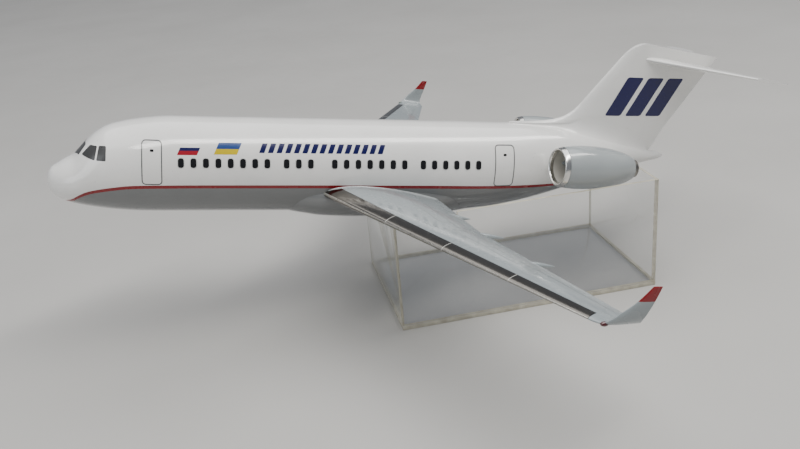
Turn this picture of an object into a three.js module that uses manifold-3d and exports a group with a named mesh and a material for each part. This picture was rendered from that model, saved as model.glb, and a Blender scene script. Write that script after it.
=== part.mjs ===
// A 1:50 display model of a rear-engined narrow body airliner, resting in a clear acrylic cradle.
// Millimetres. The finished part has +Z up, +X towards the tail and its origin under the cradle.
// The aircraft is drawn in its own frame first: x aft from the nose tip, y to starboard,
// z up from the cabin's axis. Its group is then pitched nose up and set into the cradle.
import * as THREE from 'three';
import { mergeVertices } from 'three/addons/utils/BufferGeometryUtils.js';
import Module from 'manifold-3d';

const wasm = await Module();
wasm.setup();

// Driving sizes of the aircraft
const GAP = 0.3;
const PITCH = THREE.MathUtils.degToRad(9.2);
const BODY_SIDES = 36;
const AEROFOIL_STEPS = 10;
const EDGE_THICKNESS = 0.6;

// Driving sizes of the cradle. Its long walls step down at stepX, where the trailing edges rest
const STAND = { length: 242, width: 147, wall: 2.5, base: 4, foreTop: 102.3, aftTop: 104.8, stepX: -65 };
// The aircraft's point that stands over the middle of the cradle's underside
const OVER_CENTRE = { x: 418.2, z: -111.2 };

// Body sections. Columns: station x, half width, top z, bottom z
const BODY_SECTIONS = [
  [1.2, 6.0, -8.2, -20.8],
  [4, 11.4, -3.6, -25.4],
  [8, 16.2, -0.8, -28.8],
  [16, 22.2, 4.4, -32.2],
  [23, 26.0, 8.6, -34.2],
  [27, 27.6, 13.0, -35.1],
  [32, 29.4, 19.0, -36.2],
  [40, 31.5, 26.8, -37.6],
  [50, 33.6, 32.6, -39.0],
  [62, 35.4, 36.0, -40.1],
  [74, 36.7, 38.4, -40.7],
  [86, 37.5, 40.0, -41.0],
  [100, 38.0, 41.0, -41.0],
  [350, 38.0, 41.0, -41.0],
  [380, 37.4, 41.0, -38.6],
  [410, 35.4, 41.0, -33.2],
  [440, 31.6, 40.0, -25.6],
  [470, 26.0, 36.2, -16.2],
  [500, 18.8, 29.8, -6.4],
  [524, 12.4, 23.6, 0.8],
  [547, 6.6, 17.4, 6.6],
  [558, 4.2, 15.2, 9.0],
];
const NOSE_TIP = [0, 0, -14.4];
const TAIL_TIP = [564, 0, 12.2];

// Belly fairing sections. Columns: station x, half width, centre z, half height
const FAIRING_SECTIONS = [
  [196, 24.0, -20, 20.6],
  [210, 32.0, -20.6, 21.6],
  [230, 36.8, -21.2, 23.4],
  [262, 37.6, -21.5, 24.2],
  [300, 37.6, -21.5, 24.2],
  [335, 35.0, -21, 22.8],
  [366, 24.0, -20, 20.8],
];

// Wing sections. Columns: span y, leading edge x and z, chord, incidence in degrees, thickness ratio
const WING_SECTIONS = [
  [18, 218.7, -16.0, 110.4, 3.1, 0.14],
  [36, 228.4, -15.8, 103.0, 3.1, 0.14],
  [120, 273.8, -14.5, 68.6, 3.3, 0.125],
  [287, 363.9, -12.1, 31.6, 2.8, 0.11],
];
const WING_CAMBER = 0.018;

// Winglet sections. Columns: leading edge x, y and z, chord, cant in degrees, thickness ratio
const WINGLET_SECTIONS = [
  [364.1, 287.3, -12.1, 31.5, 3, 0.11],
  [367.4, 292.0, -11.3, 26.6, 20, 0.11],
  [371.4, 295.2, -8.2, 22.4, 48, 0.11],
  [377.2, 296.7, -2.6, 18.4, 72, 0.11],
  [387.6, 297.4, 6.4, 11.2, 84, 0.12],
  [395.4, 297.8, 15.8, 6.2, 86, 0.13],
];
const LAMP = { at: [369.2, 293.2, -12.2], size: [3.4, 1.9, 1.7], around: 16, along: 10 };

// Slat strip, in plan: its ends, its width along x at the root and at the tip, and its joints
const SLAT = { y: [24, 284], width: [10.2, 7.2], joints: [107.5, 165, 223.5], joint: 0.6 };
// The prism that cuts them out: its reach ahead of the leading edge, its underside and its top
const SLAT_CUT = { reach: 6, low: -45, high: 15 };

// Flap-track fairings. Columns: span y, tail tip x and z, length, radius
const FLAP_FAIRINGS = [
  [82, 347, -21.8, 40, 2.9],
  [124, 363, -22.2, 38, 2.6],
  [188, 380, -19.2, 33, 2.3],
];
const FLAP_FAIRING_DROOP = THREE.MathUtils.degToRad(6);
const FLAP_FAIRING_SIDES = 14;
// Its outline. Columns: share of length ahead of the tail tip, share of radius
const FLAP_FAIRING_PROFILE = [
  [-1, 0], [-0.92, 0.5], [-0.75, 0.85], [-0.5, 1], [-0.25, 0.7], [-0.02, 0.12], [0, 0],
];

// Fin sections, level. Columns: height z, leading edge x, chord, thickness ratio
const FIN_SECTIONS = [
  [12, 400, 145, 0.07],
  [42.4, 402, 158.4, 0.066],
  [43.4, 420, 141, 0.074],
  [44.6, 437, 124.7, 0.083],
  [47.5, 451.4, 111.9, 0.091],
  [52.4, 460.7, 105.9, 0.095],
  [60.3, 469.2, 102.4, 0.095],
  [74, 479.4, 100.6, 0.09],
  [126, 519.4, 92.8, 0.085],
];
// Fin outline in side view: a round front corner, then a straight top down to the trailing edge
const FIN_TOP = { corner: [500, 101], control: [515, 120.2], crown: [530, 118.3], aft: [602, 108.4] };
// The slab under that outline, as its reach along x and its half width
const FIN_SLAB = { x: [380, 640], half: 20 };

// Tailplane sections. Columns: span y, leading edge x and z, chord, incidence in degrees, thickness ratio
const TAILPLANE_SECTIONS = [
  [0.5, 523.0, 104.8, 68.4, 6, 0.10],
  [80, 592, 104.2, 32, 6, 0.075],
];

// Engine: its intake's centre, and its axis, which rises and turns outward towards the intake
const ENGINE = { x: 430.8, y: 54, z: 16.2, sides: 24 };
const ENGINE_RISE = THREE.MathUtils.degToRad(-2.3);
const ENGINE_TOE = THREE.MathUtils.degToRad(5);
// Lathe profiles about that axis. Columns: distance aft of the intake, radius
const RING_PROFILE = [[4.2, 14.2], [1.2, 14.6], [0.2, 15.4], [0, 16.0], [0.5, 16.6], [2, 17.3], [4.2, 17.9]];
const NACELLE_OUTER = [
  [4.5, 18.0], [12, 18.9], [21, 19.4], [30, 19.3], [40, 18.7],
  [50, 17.7], [58, 16.2], [66, 14.1], [74, 10.7],
];
const INTAKE_DUCT = [[26, 0], [26, 14.1], [4.5, 14.2]];
const EXHAUST_DUCT = [[74, 9.5], [62, 9.3], [62, 0]];
const FAN_PROFILE = [
  [25.7, 0], [25.7, 13.7], [23.4, 13.7], [22.8, 4.4], [17.5, 3.2], [14.5, 1.4], [13.8, 0],
];
const NOZZLE_PROFILE = [
  [62.3, 0], [62.3, 8.9], [79, 7.9], [79, 7.3], [66, 8.2], [66, 4.8], [75, 3.9], [82, 1.5], [83.4, 0],
];

// Pylon sections, level struts. Columns: span y, leading edge x and z, chord, incidence, thickness ratio
const PYLON_SECTIONS = [
  [12, 440, 14.6, 58, 0, 0.12],
  [52, 443, 15.2, 50, 0, 0.12],
];

// Columns: colour, roughness, metalness
const PAINT = {
  white: [0xe4e3df, 0.25, 0],
  grey: [0xa9aeb2, 0.3, 0],
  lightGrey: [0xb9bec0, 0.28, 0],
  foil: [0x6f6d68, 0.3, 0.85],
  chrome: [0xd6d5d0, 0.12, 1],
  dark: [0x3a3c3e, 0.4, 0.6],
  red: [0x8e1620, 0.2, 0],
  green: [0x145a2c, 0.2, 0],
  acrylic: [0xdfe6e6, 0.05, 0],
};

// Solids and meshes

function signedVolume(positions, index) {
  const [a, b, c] = [new THREE.Vector3(), new THREE.Vector3(), new THREE.Vector3()];
  let six = 0;
  for (let i = 0; i < index.length; i += 3) {
    a.fromBufferAttribute(positions, index[i]);
    b.fromBufferAttribute(positions, index[i + 1]);
    c.fromBufferAttribute(positions, index[i + 2]);
    six += a.dot(b.cross(c));
  }
  return six / 6;
}

// The same surface with its doubles merged, its slivers at the poles dropped and its faces outward
function closed(geometry) {
  const bare = geometry.clone();
  bare.deleteAttribute('normal');
  bare.deleteAttribute('uv');
  const merged = mergeVertices(bare, 1e-4);
  const kept = [];
  for (let i = 0; i < merged.index.count; i += 3) {
    const [a, b, c] = [merged.index.getX(i), merged.index.getX(i + 1), merged.index.getX(i + 2)];
    if (a !== b && b !== c && c !== a) kept.push(a, b, c);
  }
  if (signedVolume(merged.attributes.position, kept) < 0) kept.reverse();
  merged.setIndex(kept);
  merged.computeVertexNormals();
  return merged;
}

function toSolid(geometry) {
  const shell = closed(geometry);
  const vertProperties = new Float32Array(shell.attributes.position.array);
  const triVerts = new Uint32Array(shell.index.array);
  return new wasm.Manifold(new wasm.Mesh({ numProp: 3, vertProperties, triVerts }));
}

function toGeometry(solid) {
  const mesh = solid.getMesh();
  const geometry = new THREE.BufferGeometry();
  geometry.setAttribute('position', new THREE.BufferAttribute(new Float32Array(mesh.vertProperties), 3));
  geometry.setIndex(new THREE.BufferAttribute(new Uint32Array(mesh.triVerts), 1));
  geometry.computeVertexNormals();
  return geometry;
}

// A closed skin over rings of equal counts, with a point closing each end
function loft(rings, startPoint, endPoint) {
  const count = rings[0].length;
  const points = rings.flat();
  const middle = (ring) => ring.reduce((sum, p) => sum.add(p), new THREE.Vector3()).divideScalar(count);
  const start = points.push(startPoint ?? middle(rings[0])) - 1;
  const end = points.push(endPoint ?? middle(rings[rings.length - 1])) - 1;
  const last = (rings.length - 1) * count;
  const index = [];
  for (let i = 0; i < count; i += 1) {
    const j = (i + 1) % count;
    index.push(start, j, i, end, last + i, last + j);
    for (let r = 0; r < last; r += count) {
      index.push(r + i, r + j, r + count + j, r + i, r + count + j, r + count + i);
    }
  }
  const geometry = new THREE.BufferGeometry().setFromPoints(points);
  geometry.setIndex(index);
  return closed(geometry);
}

// Body and belly fairing

function ovalRing(x, halfWidth, centre, halfHeight) {
  const ring = [];
  for (let i = 0; i < BODY_SIDES; i += 1) {
    const angle = (2 * Math.PI * i) / BODY_SIDES;
    ring.push(new THREE.Vector3(x, halfWidth * Math.cos(angle), centre + halfHeight * Math.sin(angle)));
  }
  return ring;
}

function bodyShell(grow = 0) {
  const rings = BODY_SECTIONS.map(([x, half, top, bottom]) =>
    ovalRing(x, half + grow, (top + bottom) / 2, (top - bottom) / 2 + grow));
  const nose = new THREE.Vector3(NOSE_TIP[0] - grow, NOSE_TIP[1], NOSE_TIP[2]);
  const tail = new THREE.Vector3(TAIL_TIP[0] + grow, TAIL_TIP[1], TAIL_TIP[2]);
  return loft(rings, nose, tail);
}

function fairingShell(grow = 0) {
  return loft(FAIRING_SECTIONS.map(([x, half, centre, high], i) => {
    const end = i === 0 ? -grow : grow;
    return ovalRing(x + end, half + grow, centre, high + grow);
  }));
}

// Aerofoil surfaces

// One closed aerofoil outline as [share of chord, height as a share of chord], trailing edge first
function aerofoil(thickness, camber, edge) {
  const point = (share, side) => {
    const half = 5 * thickness * (0.2969 * Math.sqrt(share) - 0.126 * share - 0.3516 * share ** 2
      + 0.2843 * share ** 3 - 0.1036 * share ** 4) + (edge * share) / 2;
    return [share, 4 * camber * share * (1 - share) + side * half];
  };
  const shares = [];
  for (let i = 0; i <= AEROFOIL_STEPS; i += 1) {
    shares.push((1 + Math.cos((Math.PI * i) / AEROFOIL_STEPS)) / 2);
  }
  const upper = shares.map((share) => point(share, 1));
  const lower = shares.slice(0, -1).map((share) => point(share, -1)).reverse();
  return upper.concat(lower);
}

// One section's ring: its chord runs aft and down by the incidence, and it leans by the cant
function sectionRing(section, camber, grow, side) {
  const { x, y, z, chord, incidence, cant, thickness } = section;
  const tilt = THREE.MathUtils.degToRad(incidence);
  const lean = THREE.MathUtils.degToRad(cant);
  const long = chord + 2 * grow;
  return aerofoil(thickness + (2 * grow) / long, camber, EDGE_THICKNESS / long).map(([share, height]) => {
    const along = share * long - grow;
    const rise = height * long * Math.cos(tilt) - along * Math.sin(tilt);
    const aft = along * Math.cos(tilt) + height * long * Math.sin(tilt);
    return new THREE.Vector3(x + aft, side * (y - rise * Math.sin(lean)), z + rise * Math.cos(lean));
  });
}

function surfaceShell(sections, camber, side, grow = 0) {
  return loft(sections.map(([y, x, z, chord, incidence, thickness]) =>
    sectionRing({ x, y, z, chord, incidence, cant: 0, thickness }, camber, grow, side)));
}

function wingletShell(side, grow = 0) {
  return loft(WINGLET_SECTIONS.map(([x, y, z, chord, cant, thickness]) =>
    sectionRing({ x, y, z, chord, incidence: 0, cant, thickness }, 0, grow, side)));
}

// The fin's level sections, symmetric about the centre plane
function finShell(grow = 0) {
  return loft(FIN_SECTIONS.map(([z, x, chord, thickness]) => {
    const long = chord + 2 * grow;
    return aerofoil(thickness + (2 * grow) / long, 0, EDGE_THICKNESS / long).map(([share, height]) =>
      new THREE.Vector3(x - grow + share * long, height * long, z));
  }));
}

// An outline in side view as a slab across y, which it reaches on both sides by half
function sideSlab(shape, y, half) {
  const slab = new THREE.ExtrudeGeometry(shape, { depth: 2 * half, bevelEnabled: false, curveSegments: 7 });
  return slab.rotateX(Math.PI / 2).translate(0, y + half, 0);
}

// Everything under the fin's top edge
function underFinTop() {
  const shape = new THREE.Shape();
  shape.moveTo(FIN_SLAB.x[0], 0);
  shape.lineTo(FIN_SLAB.x[0], FIN_TOP.corner[1]);
  shape.lineTo(...FIN_TOP.corner);
  shape.quadraticCurveTo(...FIN_TOP.control, ...FIN_TOP.crown);
  shape.lineTo(...FIN_TOP.aft);
  shape.lineTo(FIN_SLAB.x[1], 0);
  return sideSlab(shape, 0, FIN_SLAB.half);
}

// Slats: the wing's nose, cut along a line behind the leading edge and square to it at each joint

const edgeSlope = (WING_SECTIONS[3][1] - WING_SECTIONS[1][1]) / (WING_SECTIONS[3][0] - WING_SECTIONS[1][0]);
const edgeAt = (y) => WING_SECTIONS[1][1] + edgeSlope * (y - WING_SECTIONS[1][0]);
const slatWidthAt = (y) =>
  THREE.MathUtils.mapLinear(y, SLAT.y[0], SLAT.y[1], SLAT.width[0], SLAT.width[1]);

function noseCutter(from, to, behind, side) {
  const corner = (y, aft) => [edgeAt(y) + aft, side * (y - aft * edgeSlope)];
  const outline = [
    corner(from, -SLAT_CUT.reach),
    corner(from, slatWidthAt(from) + behind),
    corner(to, slatWidthAt(to) + behind),
    corner(to, -SLAT_CUT.reach),
  ];
  const shape = new THREE.Shape(outline.map(([x, y]) => new THREE.Vector2(x, y)));
  const depth = SLAT_CUT.high - SLAT_CUT.low;
  return new THREE.ExtrudeGeometry(shape, { depth, bevelEnabled: false }).translate(0, 0, SLAT_CUT.low);
}

// Bodies of revolution about x, and the engine's place

function lathed(profile, sides) {
  const points = profile.map(([along, radius]) => new THREE.Vector2(radius, along));
  return new THREE.LatheGeometry(points, sides).rotateZ(-Math.PI / 2);
}

function enginePiece(profile, side, grow = 0) {
  const grown = profile.map(([along, radius]) => [along, radius === 0 ? 0 : radius + grow]);
  const turned = lathed(grown, ENGINE.sides).rotateY(-ENGINE_RISE).rotateZ(-side * ENGINE_TOE);
  return turned.translate(ENGINE.x, side * ENGINE.y, ENGINE.z);
}

// The nacelle's outer form with no recess, to cut the pylon with
function nacelleBulk(side) {
  const last = NACELLE_OUTER[NACELLE_OUTER.length - 1];
  return enginePiece([[NACELLE_OUTER[0][0], 0], ...NACELLE_OUTER, [last[0], 0]], side, GAP);
}

// Cradle plates

function plate(long, wide, bottom, top, x) {
  return new THREE.BoxGeometry(long, wide, top - bottom).translate(x, 0, (top + bottom) / 2);
}

function longWall(side, bottom) {
  const end = STAND.length / 2;
  const outline = [
    [-end, bottom], [end, bottom], [end, STAND.aftTop],
    [STAND.stepX, STAND.aftTop], [STAND.stepX, STAND.foreTop], [-end, STAND.foreTop],
  ];
  const shape = new THREE.Shape(outline.map(([x, z]) => new THREE.Vector2(x, z)));
  return sideSlab(shape, (side * (STAND.width - STAND.wall)) / 2, STAND.wall / 2);
}

// Assembly

const root = new THREE.Group();
const aircraft = new THREE.Group();
aircraft.rotation.y = PITCH;
aircraft.position.copy(new THREE.Vector3(OVER_CENTRE.x, 0, OVER_CENTRE.z)
  .applyAxisAngle(new THREE.Vector3(0, 1, 0), PITCH).negate());
aircraft.updateMatrix();
root.add(aircraft);

function piece(group, name, shape, [color, roughness, metalness]) {
  const geometry = shape.isBufferGeometry ? closed(shape) : toGeometry(shape);
  const mesh = new THREE.Mesh(geometry, new THREE.MeshStandardMaterial({ color, roughness, metalness }));
  mesh.name = name;
  group.add(mesh);
}

const body = toSolid(bodyShell());
const bodyClear = toSolid(bodyShell(GAP));
const fairingClear = toSolid(fairingShell(GAP));
piece(aircraft, 'fuselage', body, PAINT.white);
piece(aircraft, 'belly_fairing', toSolid(fairingShell()).subtract(bodyClear), PAINT.grey);

const fin = toSolid(finShell()).intersect(toSolid(underFinTop()));
piece(aircraft, 'fin', fin.subtract(bodyClear), PAINT.white);
const finClear = toSolid(finShell(GAP));

for (const [hand, side] of [['left', -1], ['right', 1]]) {
  const wholeWing = toSolid(surfaceShell(WING_SECTIONS, WING_CAMBER, side));
  const wing = wholeWing.subtract(bodyClear).subtract(fairingClear);
  const cove = toSolid(noseCutter(SLAT.y[0] - SLAT.joint, SLAT.y[1] + SLAT.joint, GAP, side));
  piece(aircraft, `wing_${hand}`, wing.subtract(cove), PAINT.grey);

  const stops = [SLAT.y[0], ...SLAT.joints, SLAT.y[1]];
  for (let i = 0; i < stops.length - 1; i += 1) {
    const cutter = noseCutter(stops[i] + SLAT.joint / 2, stops[i + 1] - SLAT.joint / 2, 0, side);
    piece(aircraft, `slat_${hand}_${i + 1}`, wing.intersect(toSolid(cutter)), PAINT.foil);
  }

  piece(aircraft, `winglet_${hand}`, wingletShell(side), PAINT.lightGrey);
  const lamp = new THREE.SphereGeometry(1, LAMP.around, LAMP.along).scale(...LAMP.size);
  lamp.translate(LAMP.at[0], side * LAMP.at[1], LAMP.at[2]);
  const wingClear = toSolid(surfaceShell(WING_SECTIONS, WING_CAMBER, side, GAP));
  const bulb = toSolid(lamp).subtract(toSolid(wingletShell(side, GAP))).subtract(wingClear);
  piece(aircraft, `wingtip_lamp_${hand}`, bulb, hand === 'left' ? PAINT.red : PAINT.green);

  FLAP_FAIRINGS.forEach(([y, x, z, length, radius], i) => {
    const profile = FLAP_FAIRING_PROFILE.map(([along, share]) => [along * length, share * radius]);
    const canoe = lathed(profile, FLAP_FAIRING_SIDES).rotateY(FLAP_FAIRING_DROOP).translate(x, side * y, z);
    piece(aircraft, `flap_fairing_${hand}_${i + 1}`, toSolid(canoe).subtract(wingClear), PAINT.grey);
  });

  const plane = toSolid(surfaceShell(TAILPLANE_SECTIONS, 0, side)).subtract(finClear);
  piece(aircraft, `tailplane_${hand}`, plane, PAINT.white);

  const nacelle = enginePiece([...INTAKE_DUCT, ...NACELLE_OUTER, ...EXHAUST_DUCT], side);
  piece(aircraft, `nacelle_${hand}`, nacelle, PAINT.lightGrey);
  const lip = enginePiece([...RING_PROFILE, RING_PROFILE[0]], side);
  piece(aircraft, `intake_ring_${hand}`, lip, PAINT.chrome);
  piece(aircraft, `fan_${hand}`, enginePiece(FAN_PROFILE, side), PAINT.dark);
  piece(aircraft, `nozzle_${hand}`, enginePiece(NOZZLE_PROFILE, side), PAINT.dark);
  const pylon = toSolid(surfaceShell(PYLON_SECTIONS, 0, side)).subtract(bodyClear);
  piece(aircraft, `pylon_${hand}`, pylon.subtract(toSolid(nacelleBulk(side))), PAINT.lightGrey);
}

// The cradle: a base plate, two long walls, and two end walls cut to the body's underside

const stand = new THREE.Group();
root.add(stand);
const wallBottom = STAND.base + GAP;
piece(stand, 'stand_base', plate(STAND.length, STAND.width, 0, STAND.base, 0), PAINT.acrylic);
piece(stand, 'stand_wall_left', longWall(-1, wallBottom), PAINT.acrylic);
piece(stand, 'stand_wall_right', longWall(1, wallBottom), PAINT.acrylic);
const placedBody = toSolid(bodyShell(GAP).applyMatrix4(aircraft.matrix));
const placedFairing = toSolid(fairingShell(GAP).applyMatrix4(aircraft.matrix));
for (const [end, side, top] of [['fore', -1, STAND.foreTop], ['aft', 1, STAND.aftTop]]) {
  const x = (side * (STAND.length - STAND.wall)) / 2;
  const wide = STAND.width - 2 * (STAND.wall + GAP);
  const wall = toSolid(plate(STAND.wall, wide, wallBottom, top, x));
  piece(stand, `stand_wall_${end}`, wall.subtract(placedBody).subtract(placedFairing), PAINT.acrylic);
}

export default root;
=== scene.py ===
from bisect import bisect_right
from math import cos, pi, radians, sin, sqrt

import bmesh
import bpy
from mathutils import Matrix, Vector
from mathutils.bvhtree import BVHTree


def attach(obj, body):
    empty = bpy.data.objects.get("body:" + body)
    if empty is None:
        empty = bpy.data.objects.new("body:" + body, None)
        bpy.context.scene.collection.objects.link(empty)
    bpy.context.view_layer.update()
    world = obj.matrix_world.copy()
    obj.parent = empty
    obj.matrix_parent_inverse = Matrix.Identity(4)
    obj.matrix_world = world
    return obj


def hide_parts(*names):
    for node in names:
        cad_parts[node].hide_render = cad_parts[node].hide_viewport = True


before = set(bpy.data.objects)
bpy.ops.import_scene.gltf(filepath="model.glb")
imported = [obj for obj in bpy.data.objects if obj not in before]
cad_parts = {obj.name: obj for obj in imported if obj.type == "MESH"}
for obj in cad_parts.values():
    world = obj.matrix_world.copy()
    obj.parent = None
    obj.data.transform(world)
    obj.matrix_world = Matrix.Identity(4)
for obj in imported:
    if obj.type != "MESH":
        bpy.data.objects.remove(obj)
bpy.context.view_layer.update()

# Fuselage
# A hollow resin tube with a drooped nose and a tail that sweeps up, sprayed with gloss lacquer:
# warm white above, mid grey below, and a thin red stripe masked off between the two.
# Every aircraft size is in millimetres: aft of the nose tip, to starboard, above the cabin's axis.

MM = 0.001
NOSE_UP = radians(9.2)
OVER_CRADLE = Vector((418.2, 0, -111.2))
ONTO_CRADLE = (
    Matrix.Scale(MM, 4) @ Matrix.Rotation(NOSE_UP, 4, "Y") @ Matrix.Translation(-OVER_CRADLE)
)
BODY = [  # x, half width, top, bottom
    (0, 0, -14.4, -14.4),
    (1.2, 6, -8.2, -20.8),
    (4, 11.4, -3.6, -25.4),
    (8, 16.2, -0.8, -28.8),
    (16, 22.2, 4.4, -32.2),
    (23, 26, 8.6, -34.2),
    (27, 27.6, 13, -35.1),
    (32, 29.4, 19, -36.2),
    (40, 31.5, 26.8, -37.6),
    (50, 33.6, 32.6, -39),
    (62, 35.4, 36, -40.1),
    (74, 36.7, 38.4, -40.7),
    (86, 37.5, 40, -41),
    (100, 38, 41, -41),
    (350, 38, 41, -41),
    (380, 37.4, 41, -38.6),
    (410, 35.4, 41, -33.2),
    (440, 31.6, 40, -25.6),
    (470, 26, 36.2, -16.2),
    (500, 18.8, 29.8, -6.4),
    (524, 12.4, 23.6, 0.8),
    (547, 6.6, 17.4, 6.6),
    (558, 4.2, 15.2, 9),
    (564, 0, 12.2, 12.2),
]
BODY_SIDES = 120
BARREL, TAPER = (100, 350), (355, 564)  # where the body is straight, and where it narrows aft
STRIPE = [  # x, middle z
    (0, -39),
    (8, -34.6),
    (16, -29.8),
    (22, -26.2),
    (27.3, -21.9),
    (34, -17.9),
    (41.4, -15.4),
    (53.4, -12.6),
    (69, -10.1),
    (86, -9.2),
    (108, -8.8),
    (157, -8.6),
    (224, -8.5),
    (295, -8.6),
    (331, -8.7),
    (368, -9),
    (442, -9.4),
    (564, -9.4),
]
STRIPE_WIDTH = 2.9
WHITE = (0.80, 0.79, 0.765)
DUST_FROM, DUST_SHADE, DUST_ROUGH = 0.8, 0.62, 0.3


def smooth_row(table, at):
    """A row of a table, read at any place between its rows on a curve that never overshoots."""
    i = min(max(bisect_right([row[0] for row in table], at) - 1, 0), len(table) - 2)
    near, far = table[i], table[i + 1]
    span = far[0] - near[0]
    share = (at - near[0]) / span
    around = table[max(i - 1, 0):i + 3]

    def level(a, b):
        return 2 * a * b / (a + b) if a * b > 0 else 0

    row = []
    for column in range(1, len(near)):
        slopes = [(b[column] - a[column]) / (b[0] - a[0]) for a, b in zip(around, around[1:])]
        here = slopes[1] if i else slopes[0]
        start = level(slopes[0], here) if i else here
        end = level(here, slopes[-1]) if i + 2 < len(table) else here
        row.append(
            near[column] * (1 + 2 * share) * (1 - share) ** 2
            + far[column] * share ** 2 * (3 - 2 * share)
            + span * share * (1 - share) * (start * (1 - share) - end * share)
        )
    return row


def between(low, high, share):
    return low + (high - low) * share


def straight_row(table, at):
    """A row of a table, read on straight lines between its rows."""
    i = min(max(bisect_right([row[0] for row in table], at) - 1, 0), len(table) - 2)
    near, far = table[i], table[i + 1]
    share = (at - near[0]) / (far[0] - near[0])
    return [between(a, b, share) for a, b in zip(near[1:], far[1:])]


def steps(start, end, count):
    """Evenly spaced values, both ends among them."""
    return [start + (end - start) * i / count for i in range(count + 1)]


def parts_of(bm):
    return bm.verts[:] + bm.edges[:] + bm.faces[:]


def kind(parts, sort):
    return [part for part in parts if isinstance(part, sort)]


def closed(bm):
    """Merges poles, fills open ends and turns every face outwards."""
    bmesh.ops.remove_doubles(bm, verts=bm.verts, dist=1e-4)
    bmesh.ops.holes_fill(bm, edges=[e for e in bm.edges if e.is_boundary], sides=0)
    bmesh.ops.recalc_face_normals(bm, faces=bm.faces)
    return bm


def skinned(rings):
    """A closed skin: the first ring of points is drawn, and each next one extruded from it."""
    bm = bmesh.new()
    ring = [bm.verts.new(point) for point in rings[0]]
    rim = [bm.edges.new(pair) for pair in zip(ring, ring[1:] + ring[:1])]
    for points in rings[1:]:
        made = bmesh.ops.extrude_edge_only(bm, edges=rim)["geom"]
        fresh = set(kind(made, bmesh.types.BMVert))
        ring = [
            next(e.other_vert(v) for e in v.link_edges if e.other_vert(v) in fresh) for v in ring
        ]
        rim = [e for e in kind(made, bmesh.types.BMEdge) if set(e.verts) <= fresh]
        for v, point in zip(ring, points):
            v.co = point
    return closed(bm)


def shown(bm, name, finishes, stands_for=(), place=ONTO_CRADLE, crease=34):
    """Puts a finished mesh into the scene, in its place, with its paint."""
    bm.transform(place)
    mesh = bpy.data.meshes.new(name)
    bm.to_mesh(mesh)
    bm.free()
    mesh.shade_smooth()
    mesh.set_sharp_from_angle(angle=radians(crease))
    piece = bpy.data.objects.new(name, mesh)
    bpy.context.scene.collection.objects.link(piece)
    for finish in finishes:
        mesh.materials.append(finish)
    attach(piece, "root")
    if stands_for:
        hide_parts(*stands_for)


class Wire:
    """One output of a node. Sums written with it add the Math nodes."""

    def __init__(self, paint, socket):
        self.paint = paint
        self.socket = socket

    def math(self, operation, *values):
        return self.paint.node("Math", {"operation": operation}, dict(enumerate(values)))

    def __add__(self, other):
        return self.math("ADD", self, other)

    def __mul__(self, other):
        return self.math("MULTIPLY", self, other)

    def __gt__(self, other):
        return self.math("GREATER_THAN", self, other)

    __radd__ = __add__
    __rmul__ = __mul__


class Paint:
    """A material whose pattern comes from nodes. What is the same all over is set at once."""

    def __init__(self, name, **uniform):
        self.material = bpy.data.materials.new(name)
        self.material.use_nodes = True
        self.tree = self.material.node_tree
        self.shader = self.tree.nodes["Principled BSDF"]
        for socket, value in uniform.items():
            self.shader.inputs[socket.replace("_", " ")].default_value = value
        self.place = Wire(self, self.tree.nodes.new("ShaderNodeTexCoord").outputs["Object"])

    def node(self, sort, settings, sockets, output=0):
        made = self.tree.nodes.new("ShaderNode" + sort)
        for name, value in settings.items():
            setattr(made, name, value)
        for name, value in sockets.items():
            if isinstance(value, Wire):
                self.tree.links.new(value.socket, made.inputs[name])
            else:
                made.inputs[name].default_value = value
        return Wire(self, made.outputs[output])

    def noise(self, scale, detail=2, stretch=(1, 1, 1), turn=(0, 0, 0)):
        spot = self.node(
            "Mapping", {}, {"Vector": self.place, "Rotation": turn, "Scale": stretch}
        )
        return self.node("TexNoise", {}, {"Vector": spot, "Scale": scale, "Detail": detail})

    def mixed(self, share, first, second):
        return self.node("Mix", {"data_type": "RGBA"}, {0: share, 6: first, 7: second}, 2)

    def uneven(self, low, high, **grain):
        """A value that wanders between two ends."""
        ends = {"From Min": 0.3, "From Max": 0.7, "To Min": low, "To Max": high}
        return self.node("MapRange", {}, {"Value": self.noise(**grain), **ends})

    def clouded(self, first, second, **grain):
        """A colour that wanders between two shades."""
        return self.mixed(self.uneven(0, 1, **grain), first, second)

    def bumpy(self, height, strength, distance):
        bump = {"Height": height, "Strength": strength, "Distance": distance}
        self.feed(Normal=self.node("Bump", {}, bump))

    def feed(self, **inputs):
        for socket, value in inputs.items():
            self.tree.links.new(value.socket, self.shader.inputs[socket.replace("_", " ")])


def shade(colour, share):
    return (*[min(value * share, 1) for value in colour], 1)


def lacquer(name, colour, rough=0.2, uneven=0.04, flecks=0.3, coat=0.6):
    """Sprayed gloss lacquer: faint clouding, fine orange peel, and a few specks of dust in it."""
    paint = Paint(name, Coat_Weight=coat, Coat_Roughness=0.06, IOR=1.5)
    speck = (paint.noise(scale=700, detail=0) > DUST_FROM) * flecks
    tone = paint.clouded(
        shade(colour, 1 - uneven), shade(colour, 1 + uneven), scale=28, detail=3
    )
    sheen = paint.uneven(rough - 0.05, rough + 0.07, scale=60, detail=4)
    paint.feed(
        Base_Color=paint.mixed(speck, tone, shade(colour, DUST_SHADE)),
        Roughness=sheen + speck * DUST_ROUGH,
    )
    paint.bumpy(paint.noise(scale=900, detail=1), strength=0.05, distance=0.00012)
    return paint.material


def oval(x, half, middle, high, sides, across=0):
    """A ring of points round an upright ellipse."""
    turns = [2 * pi * i / sides for i in range(sides)]
    return [(x, across + half * cos(turn), middle + high * sin(turn)) for turn in turns]


def body_ring(x):
    """The body's section. Square roots of x keep its blunt tip round."""
    half, top, bottom = smooth_row([(sqrt(row[0]), *row[1:]) for row in BODY], sqrt(x))
    return oval(x, half, (top + bottom) / 2, (top - bottom) / 2, BODY_SIDES)


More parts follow.
